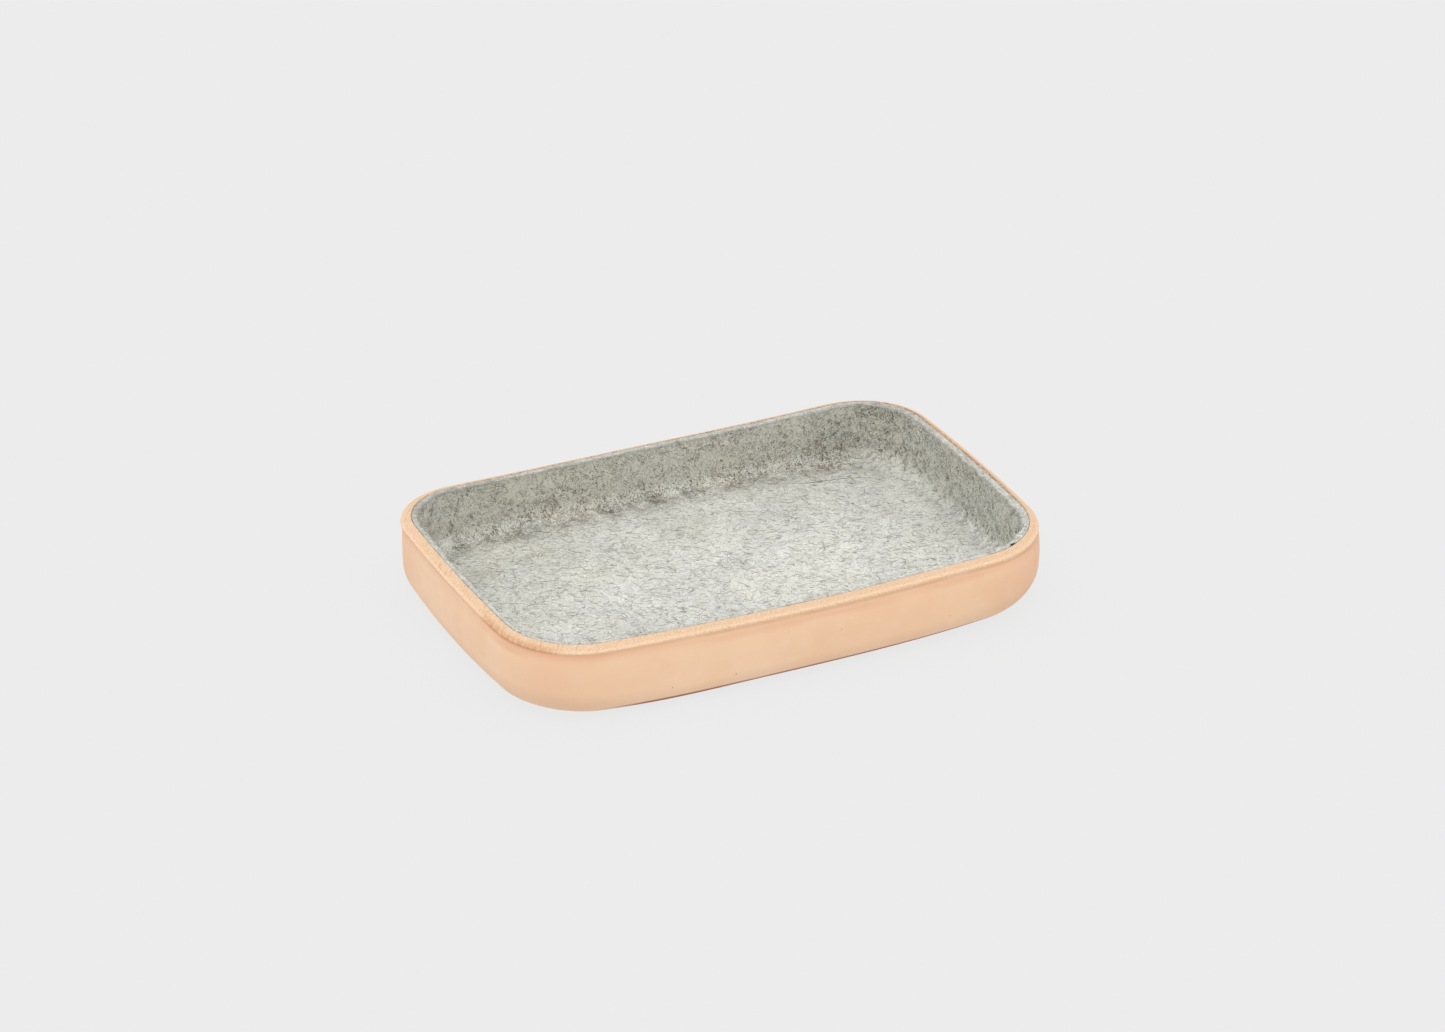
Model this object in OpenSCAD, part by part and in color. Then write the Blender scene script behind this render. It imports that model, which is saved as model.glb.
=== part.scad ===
// Desk tray: a shallow dish of thick moulded leather, lined with wool felt.
// One blank of leather is pressed over a former, and one blank of felt is
// glued inside it. The layers end together at a rim that is cut after drying.
// The origin is at the middle of the underside, and X runs along the tray.

/* [Tray] */
// Overall length
tray_l = 230; // [180:1:300]
// Overall width
tray_w = 158; // [120:1:200]
// Overall height, from the table to the top of the rim
tray_h = 32; // [28:0.5:60]
// Radius of the corners, seen from above
corner_r = 38; // [26:0.5:50]
// Radius of the edge between the base and the walls, outside
base_r = 12; // [10:0.5:20]

/* [Leather] */
// Thickness of the leather
leather_t = 4; // [2.5:0.1:4.8]
// How far the cut rim falls from its inner edge to its outer edge
rim_fall = 1.5; // [0.2:0.1:2]

/* [Glue] */
// Thickness of the dried glue
glue_t = 0.2; // [0.1:0.05:0.4]
// How far the glue stops below the rim
glue_gap = 0.3; // [0.1:0.1:1]

/* [Felt] */
// Thickness of the felt
felt_t = 3; // [2:0.1:4]
// Radius of the felt's soft top edge, on the side of the well
felt_edge_r = 1.8; // [0.5:0.1:2]

/* [Hidden] */
$fn = 96;

// The corners turn about these points
corner_x = tray_l / 2 - corner_r;
corner_y = tray_w / 2 - corner_r;

// Each layer starts where the one outside it ends
glue_in = leather_t;
felt_in = glue_in + glue_t;
well_in = felt_in + felt_t;

// Wall sections are drawn with the tray's outer face at x = 0, its inside
// towards -x and its underside at y = 0. They reach in as far as the turning
// points of the corners.

// All that lies within a face that is `inset` inside the tray's outer face
module within(inset) {
    translate([-corner_r, inset])
        square([corner_r - base_r, tray_h]);
    translate([-base_r, base_r])
        square([base_r - inset, tray_h]);
    translate([-base_r, base_r])
        intersection() {
            circle(r = base_r - inset);
            translate([0, inset - base_r])
                square(base_r - inset);
        }
}

// The section of a layer, before its top is cut
module layer(from, to) {
    difference() {
        within(from);
        within(to);
    }
}

// All that lies above a level
module above(level) {
    translate([-corner_r, level])
        square([corner_r, 2 * tray_h]);
}

// What the knife takes off the top of the leather, which leaves a sloping rim
module over_rim() {
    polygon([
        [-corner_r, tray_h], [-leather_t, tray_h], [0, tray_h - rim_fall],
        [0, 2 * tray_h], [-corner_r, 2 * tray_h]
    ]);
}

// What the felt's soft top edge lacks on the side of the well
module off_felt_edge() {
    translate([-well_in, tray_h - felt_edge_r])
        difference() {
            square(felt_edge_r);
            translate([felt_edge_r, 0])
                circle(r = felt_edge_r);
        }
}

// Runs a section along a straight side, whose outer face is `out` from the
// middle of the tray, for `half` to each side of it
module side(out, half) {
    translate([out, half, 0])
        rotate([90, 0, 0])
            linear_extrude(2 * half)
                children();
}

// Takes a section once round the tray, and returns a layer's walls with the
// outer part of its floor
module all_round() {
    for (turn = [0, 180])
        rotate(turn) {
            side(tray_l / 2, corner_y) children();
            rotate(90) side(tray_w / 2, corner_x) children();
            translate([corner_x, corner_y, 0])
                rotate_extrude(angle = 90) translate([corner_r, 0]) children();
            translate([-corner_x, corner_y, 0])
                rotate(90) rotate_extrude(angle = 90) translate([corner_r, 0]) children();
        }
}

// The middle of a layer's floor, between the turning points of the corners
module floor_middle(bottom, thickness) {
    translate([-corner_x, -corner_y, bottom])
        cube([2 * corner_x, 2 * corner_y, thickness]);
}

// Vegetable-tanned leather, moulded into a dish
module leather_shell() {
    color([0.92, 0.76, 0.63]) {
        all_round()
            difference() {
                layer(0, glue_in);
                over_rim();
            }
        floor_middle(0, leather_t);
    }
}

// Contact glue between the leather and the felt
module glue_layer() {
    color([0.36, 0.25, 0.17]) {
        all_round()
            difference() {
                layer(glue_in, felt_in);
                above(tray_h - glue_gap);
            }
        floor_middle(glue_in, glue_t);
    }
}

// Wool felt that lines the floor and the walls in one piece
module felt_liner() {
    color([0.74, 0.73, 0.70]) {
        all_round()
            difference() {
                layer(felt_in, well_in);
                above(tray_h);
                off_felt_edge();
            }
        floor_middle(felt_in, felt_t);
    }
}

leather_shell();
glue_layer();
felt_liner();
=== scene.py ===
# %% [markdown]
# # A desk tray of moulded leather with a felt lining
# The real tray is two sheets: thick vegetable-tanned leather, pressed wet over a
# former until it dries as a shallow dish, and a wool felt glued inside it. The
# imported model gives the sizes. This script builds the two sheets again with the
# marks of hand work: sides that bow out, a rim that dips, a cut edge and fuzz.

import math
import random

import bmesh
import bpy
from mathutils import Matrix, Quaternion, Vector, noise
from mathutils.bvhtree import BVHTree


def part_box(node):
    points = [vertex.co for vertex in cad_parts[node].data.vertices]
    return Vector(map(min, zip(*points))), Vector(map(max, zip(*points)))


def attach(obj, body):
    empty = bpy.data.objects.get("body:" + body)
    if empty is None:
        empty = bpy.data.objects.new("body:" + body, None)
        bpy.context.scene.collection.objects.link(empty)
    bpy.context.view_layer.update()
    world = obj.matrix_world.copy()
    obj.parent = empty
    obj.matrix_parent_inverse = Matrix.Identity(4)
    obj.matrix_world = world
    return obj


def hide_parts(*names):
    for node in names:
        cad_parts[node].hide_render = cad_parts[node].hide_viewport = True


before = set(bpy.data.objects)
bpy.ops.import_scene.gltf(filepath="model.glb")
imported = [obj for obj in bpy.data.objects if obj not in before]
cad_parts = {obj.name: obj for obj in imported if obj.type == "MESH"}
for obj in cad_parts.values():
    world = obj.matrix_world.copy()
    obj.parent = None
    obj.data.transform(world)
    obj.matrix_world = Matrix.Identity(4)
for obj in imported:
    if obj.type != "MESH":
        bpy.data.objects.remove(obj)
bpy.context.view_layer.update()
print("packed nodes:", sorted(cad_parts))

# %% [markdown]
# ## Sizes
# Blender counts in metres, and a leather worker counts in millimetres, so `mm`
# turns one into the other. The overall size and the thickness of the leather
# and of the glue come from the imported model. What the CAD model keeps plain is
# given here: smaller corners, bowed sides and the profile of the rim.

# %% Sizes of the tray
mm = 0.001
shell_low, shell_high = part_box("leather_shell")
glue_low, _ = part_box("glue_layer")
felt_low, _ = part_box("felt_liner")
half_length, half_width = shell_high.x, shell_high.y
tray_height = shell_high.z
leather_t = glue_low.z - shell_low.z
glue_t = felt_low.z - glue_low.z
felt_t = 3 * mm

corner_r = 34 * mm
long_bow = 2.5 * mm
short_bow = 1.1 * mm
felt_in = leather_t + glue_t
well_in = felt_in + felt_t
print(f"leather {leather_t / mm:.1f} mm, glue {glue_t / mm:.1f} mm, felt {felt_t / mm:.1f} mm")

# %% [markdown]
# ## The outline, seen from above
# Leather that dries on a former springs back a little, so no side is straight.
# Eight arcs, each tangent to the next, give that shape: four corners and four
# long gentle bows. A place on the outline is told by how far round it is, and a
# place on the tray by how far round, how far in, and how high.

# %% Eight tangent arcs
corner_x = half_length - short_bow - corner_r
corner_y = half_width - long_bow - corner_r


def bow_radius(half, bow):
    """Radius of a side's arc, from half the distance between its corners and its bow."""
    return corner_r + (half * half + bow * bow) / (2 * bow)


long_r, short_r = bow_radius(corner_x, long_bow), bow_radius(corner_y, short_bow)
long_half = math.asin(corner_x / (long_r - corner_r))
short_half = math.asin(corner_y / (short_r - corner_r))
corner_turn = math.pi / 2 - long_half - short_half
# Each arc: its centre, its radius, the direction in which it starts, its turn.
quarter_arcs = [
    ((half_length - short_r, 0), short_r, 0, short_half),
    ((corner_x, corner_y), corner_r, short_half, corner_turn),
    ((0, half_width - long_r), long_r, math.pi / 2 - long_half, long_half),
]
quarter_way = sum(radius * turn for _, radius, _, turn in quarter_arcs)
all_round = 4 * quarter_way


def outline(way):
    """The point and the outward direction at a distance round the outline.
    The way round starts at the middle of the right side."""
    lap = (way / quarter_way) % 4
    quarter, rest = int(lap), (lap % 1) * quarter_way
    flipped = quarter % 2 == 1
    rest = quarter_way - rest if flipped else rest
    for centre, radius, start, turn in quarter_arcs:
        if rest <= radius * turn + 1e-9:
            break
        rest -= radius * turn
    angle = start + rest / radius
    out = Vector((math.cos(angle), math.sin(angle)))
    point = Vector(centre) + radius * out
    sign = [(1, 1), (-1, 1), (-1, -1), (1, -1)][quarter]
    return (Vector((point.x * sign[0], point.y * sign[1])),
            Vector((out.x * sign[0], out.y * sign[1])))


print(f"the way round is {all_round / mm:.0f} mm")

# %% [markdown]
# ## What the hand leaves
# The base edge is rounder at the corners, where the leather had to gather, and
# tighter along the sides. The rim was trimmed with a knife, so it dips along
# the long sides. Both are smooth functions of the place, used by every layer,
# so that the layers stay on each other.

# %% How the section changes round the tray
base_r_corner = 15.5 * mm
base_r_long = 9.4 * mm
base_r_short = 11 * mm
rim_dip_front, rim_dip_back = 1.9 * mm, 3.5 * mm
rim_dip_corner = 0.6 * mm
thicker_left = 0.6 * mm


def side_shares(point):
    """How much a place belongs to the middle of a long side and of a short side, from 0 to 1."""
    x, y = abs(point.x) / half_length, abs(point.y) / half_width
    long_share = (1 - x * x) * max(0, min(1, 2 * y - 1))
    short_share = (1 - y * y) * max(0, min(1, 2 * x - 1))
    return long_share, short_share


def mark(point, x, y, reach):
    """1 at a place given in millimetres, falling to 0 over a reach: for what the hand did in one spot."""
    return math.exp(-((point - Vector((x, y)) * mm).length / (reach * mm)) ** 2)


def base_radius(point):
    """Radius of the rounded base edge there. Along the long sides it hardly changes until the corner."""
    long_share, short_share = side_shares(point)
    flat_share = 1 - (1 - long_share) ** 1.6
    return (base_r_corner + (base_r_long - base_r_corner) * flat_share
            + (base_r_short - base_r_corner) * short_share
            - 1.8 * mm * mark(point, -60, -77, 30) + 2 * mm * mark(point, 100, -66, 30))


print(f"the base edge is rounded by {base_r_long / mm:.1f} to {base_r_corner / mm:.1f} mm")


# %% The rim and the thickness of the wall
def rim_height(point):
    """Height of the top of the rim there, with the small unevenness of a knife cut."""
    long_share, short_share = side_shares(point)
    corner_share = 1 - long_share - short_share
    dip = rim_dip_front if point.y < 0 else rim_dip_back
    wander = 0.2 * mm * noise.noise(Vector((point.x, point.y, 0)) * 22)
    return (tray_height - dip * long_share - rim_dip_corner * corner_share + wander
            + 0.7 * mm * mark(point, 100, 70, 28))


def left_share(point):
    """1 at the left end, 0 from the middle on."""
    return max(0, min(1, (-point.x / half_length - 0.3) / 0.5))


def wall_leather(point):
    """Thickness of the leather wall there. At the left end and the front left corner it is thicker."""
    return leather_t + thicker_left * left_share(point)


print(f"the front rim dips to {rim_height(Vector((0, -half_width))) / mm:.1f} mm")


# %% [markdown]
# ## From a flat strip to a dish
# A grid is the mesh form of a flat blank. One side of it runs round the tray and
# the other across the section: from the middle of the floor, round the base
# edge, up the wall and over the rim. A section is a list of (inset, height)
# points, and `press` moves each grid point to its place, as a former does. The
# two ends of the strip meet, and doubles are merged there and at the middle.

# %% A place on the tray
flat_from = 20 * mm


def place(way, inset, height):
    """A point of the tray, `inset` in from the outline. The floor shrinks towards its middle."""
    point, out = outline(way)
    edge = point - out * min(inset, flat_from)
    reach = all_round / math.tau
    if inset > flat_from:
        edge *= max(0, reach - inset) / (reach - flat_from)
    return Vector((edge.x, edge.y, height))


print("5 mm in from the right side:", [round(v / mm, 1) for v in place(0, 5 * mm, 0)])

# %% Press a strip onto the tray
steps_round = 560
same_place = 1e-7


def add(name, data):
    """An object with this mesh, curve, lamp or camera, linked to the scene."""
    thing = bpy.data.objects.new(name, data)
    bpy.context.scene.collection.objects.link(thing)
    return thing


def press(name, section, mesh_steps=steps_round):
    """Makes a closed dish from a section: its (inset, height) points at a place on the outline.
    It returns the piece, and how far along the section each row of its grid lies."""
    around = [all_round * k / mesh_steps for k in range(mesh_steps + 1)]
    sections = [section(*outline(way)) for way in around]
    rows = len(sections[0]) - 1
    along = [0]
    for (a, b), (c, d) in zip(sections[0], sections[0][1:]):
        along.append(along[-1] + math.hypot(c - a, d - b))

    bm = bmesh.new()
    bmesh.ops.create_grid(bm, x_segments=mesh_steps, y_segments=rows, size=0.5)
    unrolled = bm.loops.layers.uv.new("unrolled")
    index = {}
    for vert in bm.verts:
        column, row = (vert.co.x + 0.5) * mesh_steps, (vert.co.y + 0.5) * rows
        index[vert] = (round(column), round(row))
    for face in bm.faces:
        for loop in face.loops:
            column, row = index[loop.vert]
            loop[unrolled].uv = (around[column], along[row])
    for vert, (column, row) in index.items():
        vert.co = place(around[column], *sections[column][row])
    bmesh.ops.remove_doubles(bm, verts=bm.verts, dist=same_place)
    bmesh.ops.dissolve_degenerate(bm, dist=same_place, edges=bm.edges)
    bmesh.ops.recalc_face_normals(bm, faces=bm.faces)
    for face in bm.faces:
        face.smooth = True
    mesh = bpy.data.meshes.new(name)
    bm.to_mesh(mesh)
    bm.free()
    print(name, len(mesh.polygons), "faces")
    return add(name, mesh), along


# %% [markdown]
# A section is put together from straight runs and quarter rounds. Each leaves
# out its last point, because the next one starts there.

# %% Runs and bends of a section
def run(start, end, steps):
    """Points from start towards end, without the end."""
    return [(start[0] + (end[0] - start[0]) * k / steps, start[1] + (end[1] - start[1]) * k / steps)
            for k in range(steps)]


def bend(inset, radius, steps, down=False):
    """Points of the quarter round between floor and wall, without its end.
    The face lies `inset` inside the outer one."""
    r = radius - inset
    turns = [math.pi / 2 * (1 - k / steps if down else k / steps) for k in range(steps)]
    return [(radius - r * math.sin(a), radius - r * math.cos(a)) for a in turns]


print("a bend of the base edge starts", round(bend(0, base_r_long, 4)[0][0] / mm, 1), "mm in")

# %% [markdown]
# ## The leather dish
# The outer face bulges a little between the base and the rim, as thick leather
# does. The rim is cut on a slope, and an edge tool has rounded its outer corner
# and left a fine groove just below, deepest at the front left corner. The
# section goes round both faces, so that the dish is a solid sheet.

# %% Section of the leather
rim_fall = 1.45 * mm
edge_round = 1.1 * mm
edge_drop = edge_round * 0.7
groove_below, groove_nearer = 1.9 * mm, 0.8 * mm
groove_depth, groove_reach = 0.09 * mm, 1.2 * mm
wall_bulge = 0.33 * mm
draft = 0.3 * mm
wall_steps = 16
middle = all_round / math.tau
marks = {}


def leather_section(point, out):
    """(inset, height) from the middle of the underside, up the outside, over the rim and back inside."""
    radius, top, thick = base_radius(point), rim_height(point), wall_leather(point)
    outer_top = top - rim_fall
    groove = outer_top - groove_below + groove_nearer * left_share(point)
    depth = groove_depth * (1 + 1.2 * mark(point, -107, -54, 20) - 0.7 * left_share(point))
    tuck = 0.65 * mm * mark(point, -106, 48, 38)

    points = run((middle, 0), (flat_from, 0), 8) + run((flat_from, 0), (radius, 0), 3)
    points += [(inset + tuck * height / radius, height) for inset, height in bend(0, radius, 12)]
    for k in range(wall_steps):
        t = k / wall_steps
        points.append((tuck + draft * t - (wall_bulge - tuck * 0.3) * math.sin(math.pi * t),
                       radius + (groove - groove_reach - radius) * t))
    neck = draft + tuck * 0.9
    points += [(neck, groove - groove_reach), (neck + depth * 0.4, groove - groove_reach / 2)]
    marks["groove"] = len(points)
    above = outer_top - edge_drop - groove
    points += [(neck + depth, groove), (draft + depth * 0.6, groove + above * 0.4),
               (draft + depth * 0.2, groove + above * 0.8), (draft, groove + above)]
    marks["edge"] = len(points)
    for k in range(1, 7):
        a = math.pi / 2 * k / 6
        points.append((draft + edge_round * (1 - math.cos(a)),
                       outer_top - edge_drop + (edge_drop + edge_round * rim_fall / thick) * math.sin(a)))
    start = points.pop()
    points += run(start, (thick - 0.3 * mm, top - 0.08 * mm), 8)
    points += [(thick - 0.3 * mm, top - 0.08 * mm), (thick - 0.06 * mm, top - 0.16 * mm)]
    marks["inside"] = len(points)
    points += run((thick, top - 0.5 * mm), (thick, radius), 5)
    points += bend(leather_t, radius, 6, down=True)
    points += run((radius, leather_t), (flat_from, leather_t), 2)
    points += run((flat_from, leather_t), (middle, leather_t), 2) + [(middle, leather_t)]
    return points


leather, leather_along = press("leather_dish", leather_section)
groove_v, edge_v, inside_v = (leather_along[marks[k]] for k in ("groove", "edge", "inside"))
print(f"the groove lies {(inside_v - groove_v) / mm:.1f} mm of leather from the inner edge of the rim")

# %% [markdown]
# ## The glue
# Contact glue is brushed on both sheets. Its edge shows as a thin dark line
# between them, a little below the rim.

# %% Section of the glue
glue_below = 0.6 * mm


def glue_section(point, out):
    """(inset, height) round the thin layer between the leather and the felt."""
    radius, top, thick = base_radius(point), rim_height(point) - glue_below, wall_leather(point)
    points = run((middle, leather_t), (flat_from, leather_t), 2)
    points += run((flat_from, leather_t), (radius, leather_t), 2) + bend(leather_t, radius, 6)
    points += run((thick, radius), (thick, top), 4) + [(thick, top)]
    points += run((thick + glue_t, top), (thick + glue_t, radius), 4) + bend(felt_in, radius, 6, down=True)
    points += run((radius, felt_in), (middle, felt_in), 4) + [(middle, felt_in)]
    return points


glue, _ = press("glue_line", glue_section, 280)

# %% [markdown]
# ## The felt lining
# Felt has no weave. Its faces are soft and uneven, its cut top edge is rounded
# by wear, and it wrinkles slightly where it gathers in the corners of the floor.
# Near the front right corner it has come away from the leather by a millimetre.

# %% Section of the felt
felt_edge = 0.9 * mm
free_top = 2 * mm
felt_wall_steps = 18
felt_top_t, felt_top_more = 2 * mm, 0.8 * mm
felt_proud = 0.02 * mm
well_r_long, well_r_short = 6 * mm, 3.5 * mm
lifted_at = Vector((92.4 * mm, -69.8 * mm))
lifted_long = 1.3 * mm
lifted_by = 1.1 * mm


def felt_section(point, out):
    """(inset, height) from the underside of the felt, over its soft top edge, to the middle of the well."""
    radius = base_radius(point)
    outer = wall_leather(point) + glue_t
    worn = noise.noise(Vector((point.x, point.y, 0.05)) * 130)
    top = rim_height(point) + felt_proud + worn * 0.25 * mm
    right_share = max(0, point.x / half_length)
    ragged = noise.noise(Vector((point.x, point.y, 0.4)) * 110) * (0.35 * mm + right_share * 0.3 * mm)
    ragged += noise.noise(Vector((point.x, point.y, 0.7)) * 270) * (0.3 * mm + right_share * 0.65 * mm)
    inner = outer + felt_top_t + felt_top_more * right_share + ragged
    well_radius = well_r_long + (well_r_short - well_r_long) * side_shares(point)[1]
    inner_radius = max(radius, well_in + well_radius)
    lift = lifted_by * math.exp(-((point - out * leather_t - lifted_at).length / lifted_long) ** 2)
    points = run((middle, felt_in), (flat_from, felt_in), 2)
    points += run((flat_from, felt_in), (radius, felt_in), 2) + bend(felt_in, radius, 6)
    points += run((outer, radius), (outer, top - free_top), 4)
    marks["felt top"] = len(points)
    points += [(outer + lift * 0.5, top - free_top), (outer + lift, top - 1.2 * mm),
               (outer + lift - 0.05 * mm, top - 0.6 * mm), (outer + lift * 0.9 - 0.1 * mm, top - 0.3 * mm),
               (outer + lift * 0.7 + 0.1 * mm, top - 0.08 * mm), (outer + lift * 0.5 + 0.5 * mm, top)]
    for k in range(1, 8):
        a = math.pi / 2 * k / 7
        points.append((inner - felt_edge * (1 - math.sin(a)), top - felt_edge * (1 - math.cos(a))))
    marks["felt wall"] = len(points)
    wall_top = top - felt_edge - 0.6 * mm
    for k in range(felt_wall_steps):
        t = k / felt_wall_steps
        points.append((inner + (well_in - inner) * t ** 0.7, wall_top + (inner_radius - wall_top) * t))
    marks["felt bend"] = len(points)
    points += bend(well_in, inner_radius, 12, down=True)
    marks["felt floor"] = len(points)
    points += run((inner_radius, well_in), (flat_from, well_in), 4)
    points += run((flat_from, well_in), (middle, well_in), 34) + [(middle, well_in)]
    return points


felt, felt_along = press("felt_lining", felt_section)
felt_top_v, felt_wall_v = felt_along[marks["felt top"]], felt_along[marks["felt wall"]]
felt_bend_v, felt_floor_v = felt_along[marks["felt bend"]], felt_along[marks["felt floor"]]
print(f"the felt's wall is {(felt_floor_v - felt_wall_v) / mm:.1f} mm high, with its bend")

# %% [markdown]
# Felt is never flat. Smooth noise moves each point of its open face along its
# normal: broad waves from the moulding, and small lumps of wool. The corners of
# the floor get more, because there the felt has gathered.

# %% Make the felt uneven
wave, lump = 0.3 * mm, 0.16 * mm
open_from = felt_top_v + 2.2 * mm
unrolled = felt.data.uv_layers["unrolled"].data
along_of = {loop.vertex_index: unrolled[loop.index].uv.y for loop in felt.data.loops}


def unevenness(at):
    """How far the felt stands out at a place."""
    broad = noise.noise(at * 45) * wave
    small = noise.noise(at * 260) * lump + noise.noise(at * 620) * lump * 0.5
    gather = max(0, abs(at.x) / half_length - 0.62) * max(0, abs(at.y) / half_width - 0.55) * 12
    gather *= 1 + 0.7 * mark(at.xy, 92, 62, 34)
    fold = noise.noise(Vector((at.x * 170, at.y * 170, at.z * 60))) * 0.6 * mm
    return broad + small + gather * fold


moved = [(vert, vert.co + vert.normal * unevenness(vert.co)) for vert in felt.data.vertices
         if along_of[vert.index] > open_from]
for vert, co in moved:
    vert.co = co
felt.data.update()
print(len(moved), "points of the felt moved")

# %% [markdown]
# ## Loose fibres
# Grey felt is a mix of white and dark wool. Most of it is a tangle too fine to
# model, which is left to the material, but the longest hairs lie on the surface
# or stand out of it, and they soften every edge. Each is one short curve that
# creeps over the felt: a step, a turn, and back to the nearest point of the
# surface. The bevel of the curve gives it its thickness.

# %% How a hair creeps over the felt
felt_tree = BVHTree.FromPolygons([v.co for v in felt.data.vertices],
                                 [p.vertices for p in felt.data.polygons])
clearance = 0.03 * mm


def creep(start, normal, heading, length, curl, lift, dice, steps):
    """The points of one hair that lies on the felt."""
    points, at = [], start
    drift = dice.uniform(-curl, curl)
    for k in range(steps + 1):
        height = lift * math.sin(math.pi * k / steps) + clearance
        points.append(at + normal * height)
        heading = heading - normal * heading.dot(normal)
        heading.normalize()
        side = normal.cross(heading)
        turn = drift + dice.uniform(-curl, curl) * 0.5
        heading = (heading * math.cos(turn) + side * math.sin(turn)).normalized()
        at, normal, _, _ = felt_tree.find_nearest(at + heading * length / steps)
    return points


# %% From curves to a mesh of hairs
thin_end = 0.35


def spin(name, hairs, diameter):
    """One mesh of hairs, each a list of points. A hair is thin at both ends."""
    curve = bpy.data.curves.new(name, "CURVE")
    curve.dimensions = "3D"
    curve.bevel_depth = diameter / 2
    curve.bevel_resolution = 0
    curve.use_fill_caps = True
    for points in hairs:
        spline = curve.splines.new("POLY")
        spline.points.add(len(points) - 1)
        for k, (target, co) in enumerate(zip(spline.points, points)):
            target.co = (*co, 1)
            target.radius = thin_end + (1 - thin_end) * math.sin(math.pi * k / (len(points) - 1))
    source = add(name, curve)
    finished = source.evaluated_get(bpy.context.evaluated_depsgraph_get())
    mesh = bpy.data.meshes.new_from_object(finished)
    bpy.data.objects.remove(source)
    mesh.name = name
    print(name, len(hairs), "hairs,", len(mesh.polygons), "faces")
    return add(name, mesh)


# %% [markdown]
# Hairs start on faces drawn by lot, a large face more often than a small one.
# On the floor most hairs follow the way in which the wool was carded.

# %% Many hairs, started by lot
grain_spread = 0.75


def fibres(name, count, diameter, lengths, curl, lifts, seed, faces, flow=None, steps=6):
    """Many loose hairs on some faces of the felt. With a flow they follow one direction, roughly."""
    dice = random.Random(seed)
    hairs = []
    for centre, _, _ in dice.choices(faces, weights=[area for _, area, _ in faces], k=count):
        angle = dice.uniform(0, math.tau) if flow is None else dice.gauss(flow, grain_spread)
        heading = Vector((math.cos(angle), math.sin(angle), dice.uniform(-0.6, 0.6)))
        start = centre + Vector([dice.uniform(-1, 1) * mm for _ in range(3)])
        start, normal, _, _ = felt_tree.find_nearest(start)
        length, lift = dice.uniform(*lengths), dice.uniform(*lifts)
        hairs.append(creep(start, normal, heading, length, curl, lift, dice, steps))
    return spin(name, hairs, diameter)


# %% The faces of the felt that can be seen
seen_faces = []
for face in felt.data.polygons:
    face_v = unrolled[face.loop_start].uv.y
    if face_v > felt_top_v + 0.5 * mm:
        seen_faces.append((face.center.copy(), face.area, face_v))
wall_foot = well_in + 1 * mm
floor_faces = [f for f in seen_faces if f[0].z < wall_foot]
wall_faces = [f for f in seen_faces if f[0].z > wall_foot and f[2] > felt_wall_v]
edge_faces = [f for f in seen_faces if f[2] < felt_wall_v + 1 * mm]
print("faces of the floor, walls and edge:", len(floor_faces), len(wall_faces), len(edge_faces))

# %% Lay fibres on the felt
along_grain = math.radians(-70)
dark_fibres = fibres("dark_fibres", 5200, 0.11 * mm, (1.2 * mm, 4 * mm), 0.6, (0, 0.15 * mm), 11,
                     floor_faces, along_grain, steps=4)
light_fibres = fibres("light_fibres", 3000, 0.13 * mm, (2 * mm, 6 * mm), 0.45, (0.05 * mm, 0.3 * mm), 12,
                      floor_faces, along_grain)
long_hairs = fibres("long_hairs", 150, 0.13 * mm, (5 * mm, 12 * mm), 0.25, (0.05 * mm, 0.3 * mm), 15,
                    floor_faces + wall_faces, along_grain, steps=9)
wall_fibres = fibres("wall_fibres", 7000, 0.13 * mm, (0.9 * mm, 3 * mm), 0.7, (0.05 * mm, 0.5 * mm), 14,
                     wall_faces, steps=3)
edge_fuzz = fibres("edge_fuzz", 4600, 0.12 * mm, (0.8 * mm, 2.6 * mm), 0.6, (0.1 * mm, 0.6 * mm), 13,
                   edge_faces, steps=3)

# %% [markdown]
# Some places have hairs of their own: a few straw-coloured ones near the back
# right corner and one patch at the left, dark tangled wool in the back right
# corner, and one long dark thread that lies on the floor.

# %% Straw, tangles and one thread
def crowded(faces, x, y, reach):
    """The same faces, with an area that counts only near one spot, so that hairs gather there."""
    near_by = [(centre, area * mark(centre.xy, x, y, reach) ** 2, v) for centre, area, v in faces]
    return [f for f in near_by if f[1] > 0]


low_faces = [f for f in wall_faces + floor_faces if f[0].z < 18 * mm]
straw_places = crowded(low_faces, 84, 70, 20) + crowded(low_faces, -89, 53, 2)
straw_fibres = fibres("straw_fibres", 26, 0.2 * mm, (2 * mm, 6 * mm), 0.6, (0.1 * mm, 0.4 * mm), 17,
                      straw_places, steps=9)
knots = fibres("dark_knots", 240, 0.13 * mm, (2 * mm, 6 * mm), 1.0, (0.1 * mm, 0.6 * mm), 18,
               crowded(wall_faces, 94, 64, 34), steps=6)


def thread(start_x, start_y, end_x, end_y, sag, seed):
    """A long thread that lies on the floor between two places, given in millimetres."""
    dice = random.Random(seed)
    start, end = Vector((start_x, start_y, 8)) * mm, Vector((end_x, end_y, 8)) * mm
    side = (end - start).cross(Vector((0, 0, 1))).normalized()
    points, steps = [], 26
    for k in range(steps + 1):
        t = k / steps
        off = math.sin(math.tau * t) * sag + dice.uniform(-0.2, 0.2) * mm
        at, normal, _, _ = felt_tree.find_nearest(start.lerp(end, t) + side * off)
        points.append(at + normal * 0.12 * mm)
    return points


threads = spin("long_thread", [thread(55, 59, 91, 46.5, 1.2 * mm, 21)], 0.17 * mm)
loose = [dark_fibres, light_fibres, long_hairs, wall_fibres, edge_fuzz, straw_fibres, knots, threads]
print(sum(len(piece.data.polygons) for piece in loose), "faces of hair in all")

# %% [markdown]
# ## Writing materials as sums
# A material here is a set of fields: a noise, a distance, a mask. `Field` wraps
# a node's output so that fields can be added and multiplied with Python's own
# signs, each of which adds a Math node.

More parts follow.
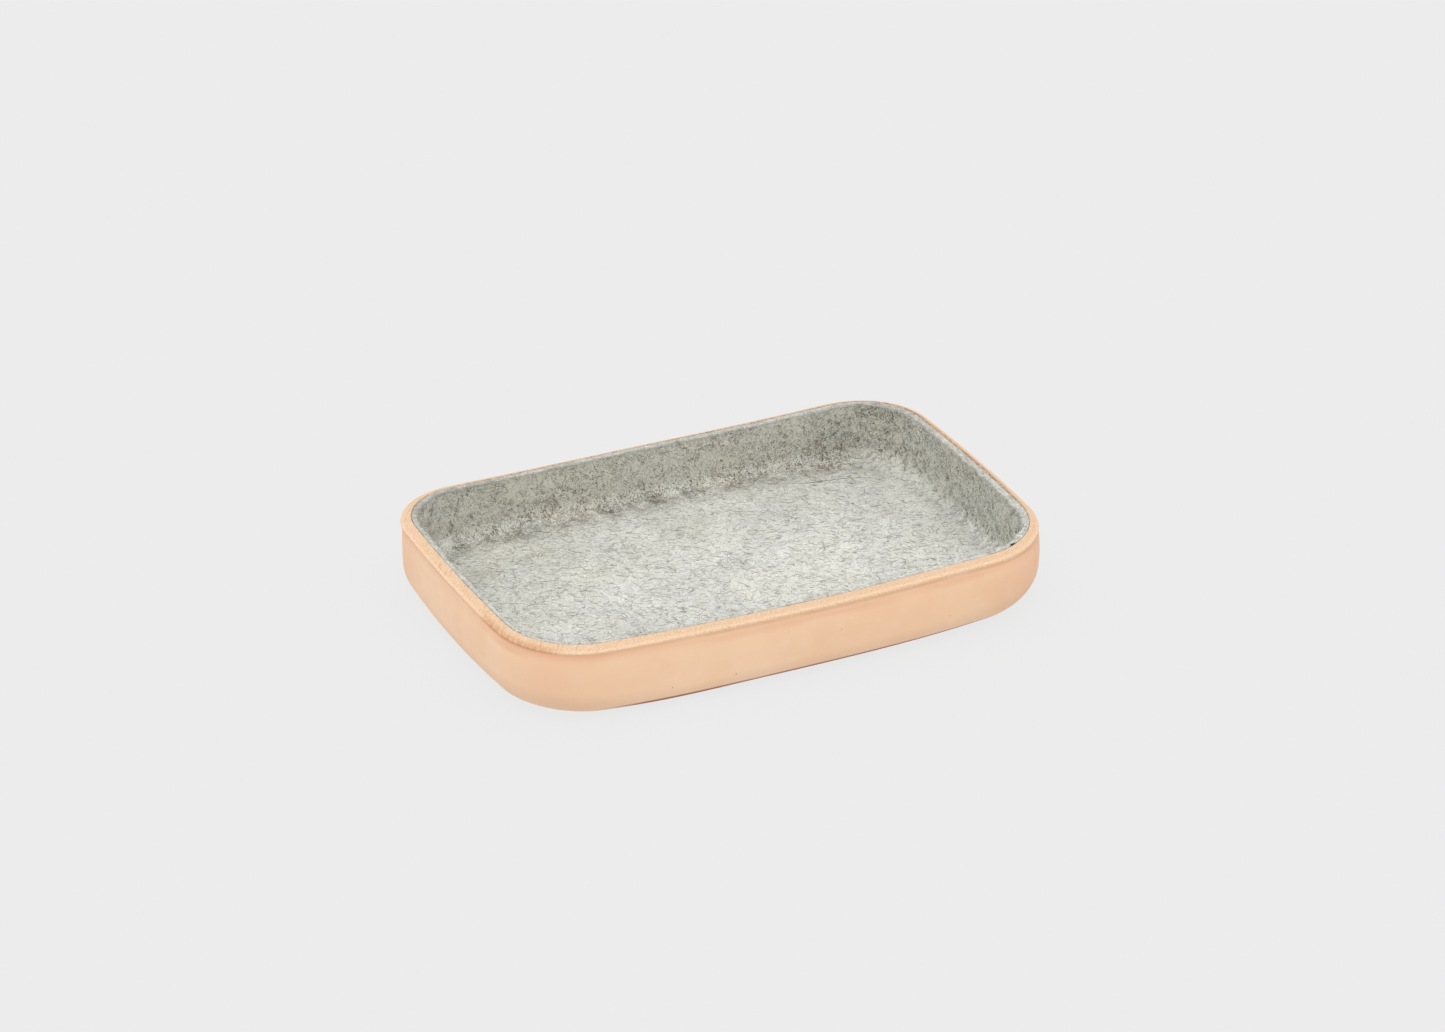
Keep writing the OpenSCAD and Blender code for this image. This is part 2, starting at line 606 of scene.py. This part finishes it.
# %% A field
class Field:
    """A number that varies over a surface."""

    def __init__(self, finish, socket):
        self.finish, self.socket = finish, socket

    def math(self, operation, *values):
        return self.finish.node("ShaderNodeMath", {"operation": operation}, dict(enumerate(values)))

    def __add__(self, other):
        return self.math("ADD", self, other)

    def __sub__(self, other):
        return self.math("SUBTRACT", self, other)

    def __rsub__(self, other):
        return self.math("SUBTRACT", other, self)

    def __mul__(self, other):
        return self.math("MULTIPLY", self, other)

    def __abs__(self):
        return self.math("ABSOLUTE", self)

    __radd__, __rmul__ = __add__, __mul__

    def between(self, low, high):
        """0 below low and 1 above high, smooth between them. With low above high it falls."""
        return self.finish.node("ShaderNodeMapRange", {"interpolation_type": "SMOOTHSTEP"},
                                {0: self, 1: low, 2: high, 3: 0.0, 4: 1.0})

    def near(self, value, width):
        """1 at a value, falling smoothly to 0 at a distance of width from it."""
        return abs(self - value).between(width, 0)


def paint(code):
    """A colour as a painter gives it, such as EBC7A8, as the light that it sends back."""
    parts = [int(code[k:k + 2], 16) / 255 for k in (0, 2, 4)]
    return [c / 12.92 if c <= 0.04045 else ((c + 0.055) / 1.055) ** 2.4 for c in parts] + [1.0]


print("pale leather sends back", [round(part, 2) for part in paint("EFCAA8")[:3]])

# %% [markdown]
# `Finish` holds one material, and its `node` method adds any node: its type, its
# settings, then its inputs. The other methods are the few kinds of node that this
# tray needs. A dish's `locate` gives the place of a point on the piece, and
# `along`, how far it lies along the section, which `press` left in the UV map.

# %% A finish made of fields
class Finish:
    """One procedural material."""

    def __init__(self, name):
        self.material = bpy.data.materials.new(name)
        self.material.use_nodes = True
        self.tree = self.material.node_tree
        self.shader = self.tree.nodes["Principled BSDF"]

    def node(self, kind, settings=(), inputs=(), output=0):
        """Adds a node: its settings first, then the values or links of its inputs. It returns one output."""
        made = self.tree.nodes.new(kind)
        for key, value in dict(settings).items():
            setattr(made, key, value)
        for key, value in dict(inputs).items():
            self.put(made.inputs[key], value)
        return Field(self, made.outputs[output])

    def put(self, socket, value):
        if isinstance(value, Field):
            self.tree.links.new(value.socket, socket)
        else:
            socket.default_value = value

    def set(self, **values):
        """Sets the shader's own sockets: Base_Color stands for Base Color."""
        for key, value in values.items():
            self.put(self.shader.inputs[key.replace("_", " ")], value)

    def place(self):
        """Where the point is on the piece, in metres."""
        return self.node("ShaderNodeTexCoord", output="Object")

    def part(self, vector, k):
        """One part of a vector: 0 for X, 1 for Y and 2 for Z."""
        return self.node("ShaderNodeSeparateXYZ", inputs={0: vector}, output=k)

    def locate(self):
        """Where the point is: on the piece, and how far along its section, in metres."""
        self.at = self.place()
        self.x, self.y, self.z = [self.part(self.at, k) for k in range(3)]
        self.along = self.part(self.node("ShaderNodeUVMap", {"uv_map": "unrolled"}), 1)

    def distance(self, vector, centre):
        """How far a place is from a centre, in metres."""
        return self.node("ShaderNodeVectorMath", {"operation": "DISTANCE"}, {0: vector, 1: centre}, "Value")

    def stretched(self, vector, lengths, turn=(0, 0, 0)):
        """The place, measured along three turned axes in units of three lengths, for noise of scale 1."""
        return self.node("ShaderNodeMapping", {"vector_type": "TEXTURE"},
                         {"Vector": vector, "Rotation": turn, "Scale": lengths})

    def noise(self, vector, scale, detail=2.0, roughness=0.5, distortion=0.0):
        """Soft noise, about 0.5 in the middle, with lumps of about 1 / scale metres."""
        return self.node("ShaderNodeTexNoise", {"noise_type": "FBM", "normalize": True},
                         {"Vector": vector, "Scale": scale, "Detail": detail,
                          "Roughness": roughness, "Distortion": distortion}, "Fac")

    def bent(self, vector, scale, by):
        """The place, pushed about by a noise, so that what is drawn on it curls."""
        where = {"Vector": vector, "Scale": scale, "Detail": 1.0}
        push = self.node("ShaderNodeTexNoise", inputs=where, output="Color")
        push = self.node("ShaderNodeVectorMath", {"operation": "SUBTRACT"}, {0: push, 1: (0.5, 0.5, 0.5)})
        push = self.node("ShaderNodeVectorMath", {"operation": "SCALE"}, {0: push, "Scale": by})
        return self.node("ShaderNodeVectorMath", {"operation": "ADD"}, {0: vector, 1: push})

    def mix(self, colour, other, share):
        """One colour turning into another as share goes from 0 to 1."""
        return self.node("ShaderNodeMix", {"data_type": "RGBA"}, {"Factor": share, 6: colour, 7: other}, 2)

    def relief(self, height, depth):
        """Makes the surface stand out by `depth` metres where height is 1."""
        bump = self.node("ShaderNodeBump", {}, {"Height": height, "Distance": depth, "Strength": 1.0})
        self.set(Normal=bump)


# %% [markdown]
# ## Leather
# Vegetable-tanned leather is pale and warm, satin on its grain side, with faint
# clouds, a few pores and streaks that run with the stretch. The cut edge has no
# grain: it shows cream fibres, and it is rough. The groove and the skin just
# under the rim are darkened with painted shade from the rim's edge; at the front
# left corner the edge tool has burnished them as well.

# %% What the leather's finish is made from
def leather_fields(f):
    """The noises and places that several parts of the finish share."""
    f.locate()
    f.clouds = f.noise(f.at, 28, 3, 0.55)
    f.streaks = f.noise(f.stretched(f.at, (40 * mm, 40 * mm, 2.5 * mm)), 1, 3, 0.6)
    f.grain = f.noise(f.at, 2600, 2, 0.6)
    f.fibre = f.noise(f.at, 2000, 3, 0.8)
    f.knife = f.noise(f.stretched(f.at, (5 * mm, 0.8 * mm, 5 * mm), (0, 0, 0.9)), 1, 2, 0.6)
    front_corner = (-0.9 * half_length, -0.9 * half_width, 0.8 * tray_height)
    f.front_left = f.distance(f.at, front_corner).between(62 * mm, 12 * mm)
    f.left = f.x.between(-0.3 * half_length, -0.8 * half_length)
    f.burnish = f.distance(f.at, (-108 * mm, -52 * mm, 28 * mm)).between(25 * mm, 12 * mm)
    f.on_cut = f.along.between(groove_v + 0.1 * mm, groove_v + 0.8 * mm)


# %% The grain side
def grain_side(f):
    """Colour of the smooth outside: clouds, streaks along the stretch, and a pink tint under the rim, partly
    the leather's own tone and partly painted shade from the rim's edge.
    """
    small_clouds = f.noise(f.at, 140, 3, 0.6)
    skin = f.mix(paint("EFCAA8"), paint("EBC19D"), f.clouds.between(0.35, 0.68))
    skin = f.mix(skin, paint("F1D0B2"), small_clouds.between(0.5, 0.8) * 0.5)
    skin = f.mix(skin, paint("E2AE88"), f.streaks.between(0.56, 0.78) * 0.22)
    skin = f.mix(skin, paint("D9A07A"), f.grain.between(0.55, 0.8) * 0.12)
    under = f.noise(f.stretched(f.at, (30 * mm, 30 * mm, 6 * mm)), 1, 2).between(0.42, 0.68)
    # Painted shade in part: the pink tint under the rim is partly shade from the rim's edge.
    blush_and_rim_shade = f.along.near(groove_v - 2.4 * mm, 3 * mm) * under
    return f.mix(skin, paint("DD9F80"), blush_and_rim_shade * (0.25 + f.front_left * 0.4))


# %% Pores and hairlines
# Each pore: how far along the tray, how high, and its radius, in millimetres.
pores = ((-30, 8, 0.42), (-56, 8, 0.36), (14, 17, 0.3), (61, 11, 0.32), (-8, 21, 0.25))


def flaws(f, skin):
    """The skin with a few pores on its long sides, and with upright hairlines at the right end."""
    face_on = f.node("ShaderNodeCombineXYZ", inputs={0: f.x, 1: 0.0, 2: f.z})
    for pore_x, pore_z, pore_r in pores:
        pore = f.distance(face_on, (pore_x * mm, 0, pore_z * mm))
        skin = f.mix(skin, paint("8F6144"), pore.between(pore_r * mm, pore_r * 0.4 * mm) * 0.7)
    hairline = f.noise(f.stretched(f.at, (0.8 * mm, 0.8 * mm, 60 * mm)), 1, 1).between(0.64, 0.74)
    right_end = f.x.between(0.78 * half_length, 0.92 * half_length)
    return f.mix(skin, paint("C98E6C"), hairline * right_end * 0.35)


# %% The cut edge
def cut_edge(f):
    """Colour of the cut: cream fibres, marks of the knife, and a burnished front left corner."""
    cut = f.mix(paint("BA9674"), paint("CFB69C"), f.fibre.between(0.3, 0.68))
    cut = f.mix(cut, paint("A87850"), f.knife.between(0.5, 0.72) * (0.12 + f.left * 0.33))
    across = f.noise(f.stretched(f.at, (5 * mm, 0.45 * mm, 5 * mm), (0, 0, 0.25)), 1, 2, 0.6)
    cut = f.mix(cut, paint("DCC3A4"), across.between(0.5, 0.68) * f.left * 0.4)
    outer_edge = f.along.between(inside_v - 1.7 * mm, edge_v + 0.6 * mm) * f.burnish
    cut = f.mix(cut, paint("A9713D"), outer_edge * (f.knife.between(0.3, 0.6) * 0.45 + 0.3))
    rounded = f.mix(paint("D4AB88"), paint("F0D0B2"), f.fibre.between(0.3, 0.68))
    rounded = f.mix(rounded, paint("B67E4A"), f.burnish * (f.knife.between(0.35, 0.6) * 0.4 + 0.35))
    flat_cut = f.along.between(edge_v + 0.1 * mm, edge_v + 1.5 * mm)
    return f.mix(rounded, cut, flat_cut)


# %% Groove, skirt and corners
def rim_shade_and_burnish(f, colour):
    """Paints shade into the groove and the skirt just under it, with burnish in the groove at the front left
    corner, and tints the corners darker and pinker.
    """
    # Painted shade in the crease of the groove, with burnish at the front left corner.
    groove = f.along.near(groove_v, 0.9 * mm) * f.noise(f.at, 60, 2).between(0.2, 0.6)
    colour = f.mix(colour, paint("C07C4A"), groove * (0.32 - f.left * 0.22 + f.burnish * 0.5))
    # Painted shade on the skirt just under the rim's edge.
    skirt = f.along.between(groove_v - 4.5 * mm, groove_v)
    skirt = skirt * f.along.between(groove_v + 0.3 * mm, groove_v)
    colour = f.mix(colour, paint("DDA37A"), skirt * (0.2 + f.front_left * 0.35))
    corner = abs(f.x).between(0.6 * half_length, 0.95 * half_length)
    corner = corner * abs(f.y).between(0.5 * half_width, 0.95 * half_width)
    return f.mix(colour, paint("DA9F7B"), corner * (1 - f.on_cut) * 0.28)


# %% [markdown]
# Painted shade darkens the joint with the felt, more so at the far side, with a
# little glue there as well. Along the front, a thin brown line of painted shade
# marks the foot of the wall. Where the felt has come away, the gap is painted
# nearly black as its shadow.

# %% Painted shade at the joint, the foot and the gap
def lifted_spot(f, reach, core):
    """1 where the felt has come away from the leather."""
    return f.distance(f.at, (*lifted_at, tray_height - 1.2 * mm)).between(reach, core)


def seam_foot_and_gap_shade(f, colour):
    """Paints shade into the joint with the felt, along the foot of the front wall, and at the edge of the
    gap.
    """
    # Painted shade: the seam between leather and felt darkens, more on the far side, with a little glue as
    # well.
    far = (f.y * 0.9 + f.x * 0.42).between(-10 * mm, 30 * mm)
    wider = f.x.between(0.8 * half_length, 0.95 * half_length) * 1.1 * mm
    joint = f.along + 0.6 * mm + far * (0.4 * mm + wider)
    joint = joint.between(inside_v - 0.2 * mm, inside_v + 0.4 * mm)
    dots = f.noise(f.at, 700, 1).between(0.35, 0.6)
    colour = f.mix(colour, paint("5E3E2B"), joint * (0.1 + dots * 0.3 + far * (0.1 + dots * 0.15)))

    # Painted shade: a thin brown line along the foot of the front wall, where it turns under.
    foot = f.z.between(3.8 * mm, 2.9 * mm) * f.y.between(-0.8 * half_width, -0.9 * half_width)
    patchy = f.noise(f.stretched(f.at, (25 * mm, 25 * mm, 9 * mm)), 1, 2).between(0.3, 0.6)
    foot = foot * (0.7 + patchy * 0.3)
    foot = foot * f.x.between(-88 * mm, -65 * mm) * f.x.between(98 * mm, 75 * mm)
    colour = f.mix(colour, paint("964B1C"), foot)

    # Painted shadow: the leather's inner edge where the felt has come away is painted nearly black.
    gap = lifted_spot(f, 1.6 * mm, 1 * mm) * f.along.between(inside_v - 0.6 * mm, inside_v - 0.1 * mm)
    return f.mix(colour, paint("140F0C"), gap)


# %% The leather's finish
def leather_finish():
    f = Finish("leather")
    leather_fields(f)
    colour = f.mix(flaws(f, grain_side(f)), cut_edge(f), f.on_cut)
    colour = seam_foot_and_gap_shade(f, rim_shade_and_burnish(f, colour))
    roughness = 0.5 + f.on_cut * 0.3 + (f.clouds - 0.5) * 0.15
    f.set(Base_Color=colour, Roughness=roughness, Specular_IOR_Level=0.35)
    f.relief(f.grain * 0.3 + f.on_cut * (f.fibre * 1.6 + f.knife * 0.8) + f.streaks * 0.25, 0.06 * mm)
    return f.material


leather.data.materials.append(leather_finish())
print("the leather's finish has", len(leather.active_material.node_tree.nodes), "nodes")

# %% [markdown]
# ## Felt
# Seen close, grey felt is white wool with darker hairs through it, in clouds
# where the mix varies. All of that is one number, how light the wool is, which
# then picks a colour between dark wool and pale wool. It starts from masks: the
# felt differs on the floor, on the walls and on its worn top edge.

# %% Places on the felt
def felt_places(f):
    """Masks for the ends and the back, the wall, its upright part, the painted shade at its foot and the top
    edge.
    """
    f.locate()
    f.at_back = (f.y * 0.9 - f.x * 0.2).between(0, 40 * mm)
    f.at_right = f.x.between(0.6 * half_length, 0.9 * half_length)
    at_left = f.x.between(-0.6 * half_length, -0.85 * half_length)
    uneven = f.along + (f.noise(f.at, 130, 3, 0.6) - 0.5) * 16 * mm
    uneven = uneven - f.at_back * 4.5 * mm + f.at_right * 3 * mm
    f.wall = f.along.between(felt_wall_v - 0.7 * mm, felt_wall_v + 0.2 * mm)
    f.wall = f.wall * uneven.between(felt_floor_v + 4.5 * mm, felt_floor_v - 3 * mm)
    f.upright = f.wall * f.along.between(felt_floor_v, felt_bend_v)
    # Painted shade: the floor darkens along the foot of the wall, where the bend meets it.
    f.foot = f.along.between(felt_bend_v - 3 * mm, felt_floor_v - 4 * mm)
    f.foot = f.foot * uneven.between(felt_floor_v + 8 * mm, felt_floor_v - 2 * mm)
    f.foot = f.foot * (0.1 + f.at_back * 0.08 - f.at_right * 0.14 - at_left * 0.08)
    ragged = f.along + (f.noise(f.at, 420, 2, 0.6) - 0.5) * 3 * mm
    f.top = ragged.between(felt_wall_v + 0.5 * mm, felt_wall_v - 0.7 * mm)


# %% [markdown]
# Noise that is stretched one way makes strands, here in five directions. Where
# such a noise passes through one value there is a thin line, much like a single
# hair, and a second noise breaks the lines off.

# %% Strands and single hairs
# Each strand: its turn, its pitch, and how strongly it shows on the floor.
strand_ways = ((-1.4, 0.1, 0.6), (0.3, 0.75, 0.12), (0.9, -0.8, 0.12), (-1.6, 0.2, 0.6), (-1.1, -0.1, 0.45))
strand_size = (1.5 * mm, 0.38 * mm, 0.38 * mm)
long_strand_size = (9 * mm, 0.6 * mm, 0.6 * mm)


def felt_strands(f):
    """Strands in five directions, single hairs, and a few long strands."""
    curled = f.bent(f.at, 330, 3 * mm)
    f.strands = []
    for turn, pitch, _ in strand_ways:
        f.strands.append(f.noise(f.stretched(curled, strand_size, (0, pitch, turn)), 1, 2, 0.6))
    hairs = f.strands[0].near(0.5, 0.035) + f.strands[3].near(0.5, 0.035) + f.strands[1].near(0.52, 0.03)
    f.hairs = hairs * f.noise(f.at, 380, 1).between(0.5, 0.62)
    lazy = f.bent(f.at, 90, 9 * mm)
    f.long_strands = f.noise(f.stretched(lazy, long_strand_size, (0, 0, -0.8)), 1, 1).between(0.66, 0.74)


# %% Clouds, clumps and grit
def felt_clouds(f):
    """What is rounder than a strand, from the broadest to the finest."""
    f.clouds = f.noise(f.at, 60, 3, 0.6)
    draped = f.stretched(f.bent(f.at, 90, 5 * mm), (8 * mm, 8 * mm, 20 * mm))
    f.drapes = f.noise(draped, 1, 2, 0.6).between(0.5, 0.68)
    f.patches = f.noise(f.bent(f.at, 90, 8 * mm), 150, 3, 0.65)
    f.clumps = f.noise(f.bent(f.at, 120, 6 * mm), 210, 2, 0.6).between(0.56, 0.7)
    f.tufts = f.noise(f.at, 720, 2, 0.7, 1.8)
    f.grit = f.noise(f.at, 1500, 1, 0.6, 1.2)


# %% [markdown]
# The sum is taken in two steps. The broad one says which areas are light: a wall
# is paler towards its foot, painted shade darkens the floor along the foot of the
# wall, and the floor is darker at its ends and at the back.
# The fine one adds strands, hairs and grit, which are strongest on the walls,
# because there the felt was stretched and shows more of its dark wool.

# %% How light the wool is
def broad_light(f):
    """Lightness of the wool in its areas, about 0.75 in the middle."""
    flat = 1 - f.upright
    depth = f.z.between(tray_height, well_in)
    bunched = f.distance(f.at, (94 * mm, 66 * mm, 15 * mm)).between(42 * mm, 8 * mm)
    # Painted shade: f.foot darkens the floor along the foot of the wall.
    light = 0.755 + (f.clouds - 0.5) * (0.45 + f.wall * 0.5) - f.foot
    light = light + f.upright * (depth * 0.13 + 0.145 + f.at_back * 0.14 - f.drapes * 0.13)
    light = light + f.at_right * (f.wall * flat * 0.22 - f.top * 0.06)
    light = light - f.clumps * (0.04 + f.wall * 0.1)
    light = light - (f.x.between(-30 * mm, -80 * mm) * 0.07 + f.at_right * 0.03) * flat
    light = light - f.y.between(0, 60 * mm) * flat * 0.12
    return light + (f.patches - 0.5) * (0.3 + f.wall * 1.1) + bunched * f.wall * 0.05


def fine_light(f):
    """What strands, hairs and grit add to it."""
    light = (f.tufts - 0.5) * (0.3 + f.upright * 0.6)
    light = light + (f.grit - 0.5) * (0.8 + f.wall * 0.3 + f.upright * 1.9)
    light = light - f.hairs * (0.1 + f.upright * 0.16)
    for strand, (_, _, on_floor) in zip(f.strands, strand_ways):
        light = light + (0.5 - strand) * (on_floor + f.wall * (0.84 - on_floor) + f.upright * 1.2)
    return light - f.long_strands * (1 - f.wall) * 0.08


# %% The felt's finish
def felt_finish():
    f = Finish("felt")
    felt_places(f)
    felt_strands(f)
    felt_clouds(f)
    light = broad_light(f) + fine_light(f)
    wool = f.mix(paint("57534C"), paint("CBCCC6"), light)
    warm = f.noise(f.at, 35, 2).between(0.4, 0.7) * 0.2 + f.wall * 0.12 + f.upright * 0.2 + f.at_back * 0.1
    wool = f.mix(wool, f.mix(paint("6A5A42"), paint("CECBB8"), light), warm)
    # Painted shade: the felt's face against the leather, and the gap where it has come away, are painted
    # nearly black.
    hidden = f.along.between(felt_top_v + 1.75 * mm, felt_top_v + 1.3 * mm)
    gap = f.along.between(felt_top_v + 2.3 * mm, felt_top_v + 1.9 * mm)
    gap = gap * lifted_spot(f, 1.8 * mm, 1.1 * mm)
    wool = f.mix(wool, paint("1E1915"), hidden.math("MAXIMUM", hidden, gap))
    f.set(Base_Color=wool, Roughness=0.95, Specular_IOR_Level=0.1, Sheen_Weight=0.15, Sheen_Roughness=0.6)
    f.relief(f.tufts * 0.5 + f.grit * 0.5 + f.patches * 0.5 - f.strands[1] * (0.2 + f.wall * 0.4), 0.22 * mm)
    return f.material


felt.data.materials.append(felt_finish())
print("the felt's finish has", len(felt.active_material.node_tree.nodes), "nodes")

# %% [markdown]
# ## Hairs and glue
# A hair has one colour, but neighbours differ, so a coarse noise changes it from
# place to place. The glue is brown and dull.

# %% The glue's finish
def glue_finish():
    f = Finish("glue")
    speck = f.noise(f.place(), 900, 2)
    colour = f.mix(paint("4A382B"), paint("2E231B"), speck.between(0.4, 0.6))
    f.set(Base_Color=colour, Roughness=0.6 + speck * 0.2)
    f.relief(speck, 0.05 * mm)
    return f.material


glue.data.materials.append(glue_finish())
print("the glue's finish has", len(glue.active_material.node_tree.nodes), "nodes")

# %% The hairs' finishes
hair_colours = {
    "dark_fibres": ("dark_wool", "716D65", "98948B"),
    "light_fibres": ("light_wool", "CFCFC6", "BEBDB4"),
    "long_hairs": ("long_wool", "5F5B54", "8F8B82"),
    "wall_fibres": ("wall_wool", "76716A", "E2E1D8"),
    "edge_fuzz": ("edge_wool", "D0CEC4", "A9A69A"),
    "straw_fibres": ("straw", "7C5A30", "A5834E"),
    "dark_knots": ("knotted_wool", "67625A", "98938A"),
    "long_thread": ("dark_thread", "4C4842", "6E6A62"),
}


def hair_finish(name, one, other):
    f = Finish(name)
    shade = f.noise(f.place(), 330, 1)
    colour = f.mix(paint(one), paint(other), shade.between(0.35, 0.65))
    f.set(Base_Color=colour, Roughness=0.8, Specular_IOR_Level=0.15)
    return f.material


for piece in loose:
    piece.data.materials.append(hair_finish(*hair_colours[piece.name]))
print(len(bpy.data.materials), "materials so far")

# %% [markdown]
# ## What moves with what
# The tray has one body. The leather, the glue and the felt stand for the three
# imported solids, and the size of the felt's blank is worked out.

# %% Size of the felt's blank
packed_base_r = 12 * mm


def blank(floor, wall):
    """Length of the felt blank one way: its floor, two quarter rounds and two walls, along its middle."""
    turn = (packed_base_r - felt_in - felt_t / 2) * math.pi / 2
    return floor - 2 * packed_base_r + 2 * (turn + wall)


wall_height = tray_height - packed_base_r
felt_flat = (blank(2 * half_width, wall_height), blank(2 * half_length, wall_height))
print(f"felt blank {felt_flat[0] / mm:.0f} x {felt_flat[1] / mm:.0f} mm")

# %% Ride and replace
pieces = {
    "leather": (leather, "leather_shell"), "glue": (glue, "glue_layer"), "felt": (felt, "felt_liner"),
}
for slot_name, (piece, node) in pieces.items():
    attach(piece, "root")
    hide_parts(node)
for piece in loose:
    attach(piece, "root")
print(len(pieces) + len(loose), "pieces ride on the tray's one body")

# %% [markdown]
# ## Studio
# The tray stands on a pale floor that glows a little, like a table lit from
# below, so that its shadow is faint. The sky is the same pale grey, and one very
# soft lamp shines from above, which leaves the inner walls darker than the floor
# of the well.

# %% Light
pale = 0.839
world = bpy.data.worlds.new("studio")
world.use_nodes = True
world.node_tree.nodes["Background"].inputs["Color"].default_value = (pale, pale, pale, 1)
bpy.context.scene.world = world
bpy.context.scene.view_settings.view_transform = "Standard"

lamp = bpy.data.lights.new("soft_sun", "SUN")
lamp.energy = 2.4
lamp.angle = math.radians(80)
sun = add("soft_sun", lamp)
sun.rotation_euler = (math.radians(4), math.radians(-4), 0)
print("a lamp of", round(math.degrees(lamp.angle)), "degrees across")

# %% Floor
floor_half, matt_grey, matt_share = 8, 0.52, 0.07


def studio_floor():
    """A pale floor that mostly glows, and takes only a little light and shade."""
    bm = bmesh.new()
    bmesh.ops.create_grid(bm, x_segments=1, y_segments=1, size=floor_half)
    mesh = bpy.data.meshes.new("floor")
    bm.to_mesh(mesh)
    bm.free()
    f = Finish("floor")
    glow = f.node("ShaderNodeEmission", inputs={"Color": (pale, pale, pale, 1), "Strength": 1.0})
    matt = f.node("ShaderNodeBsdfDiffuse", inputs={"Color": (matt_grey, matt_grey, matt_grey, 1)})
    both = f.node("ShaderNodeMixShader", inputs={0: matt_share, 1: glow, 2: matt})
    f.put(f.tree.nodes["Material Output"].inputs["Surface"], both)
    mesh.materials.append(f.material)
    return add("floor", mesh)


floor = studio_floor()
print(f"a floor of {2 * floor_half} m")

# %% [markdown]
# A long lens far away keeps the sides of the tray nearly parallel. The camera
# stands to the left of the front, looks down on the tray, and aims a little
# above it, so that the tray sits low in the picture.

# %% Camera
# Its roll and its two small turns put the tray where it belongs in the picture.
camera_azimuth, camera_elevation = math.radians(-25.0), math.radians(27.92)
camera_roll = math.radians(-0.465)
aim_up, aim_left = math.radians(0.787), math.radians(-0.032)
camera_distance = 2.0677
camera_data = bpy.data.cameras.new("camera")
camera_data.sensor_width = 36
camera_data.lens = 131.6
camera_data.clip_end = 50
camera = add("camera", camera_data)
toward_camera = Vector((math.sin(camera_azimuth) * math.cos(camera_elevation),
                        -math.cos(camera_azimuth) * math.cos(camera_elevation),
                        math.sin(camera_elevation)))
camera.location = toward_camera * camera_distance
turn = (-toward_camera).to_track_quat("-Z", "Y") @ Quaternion((0, 0, 1), camera_roll)
turn = turn @ Quaternion((1, 0, 0), aim_up) @ Quaternion((0, 1, 0), aim_left)
camera.rotation_euler = turn.to_euler()
bpy.context.scene.camera = camera
print(f"camera at {camera_distance:.2f} m")
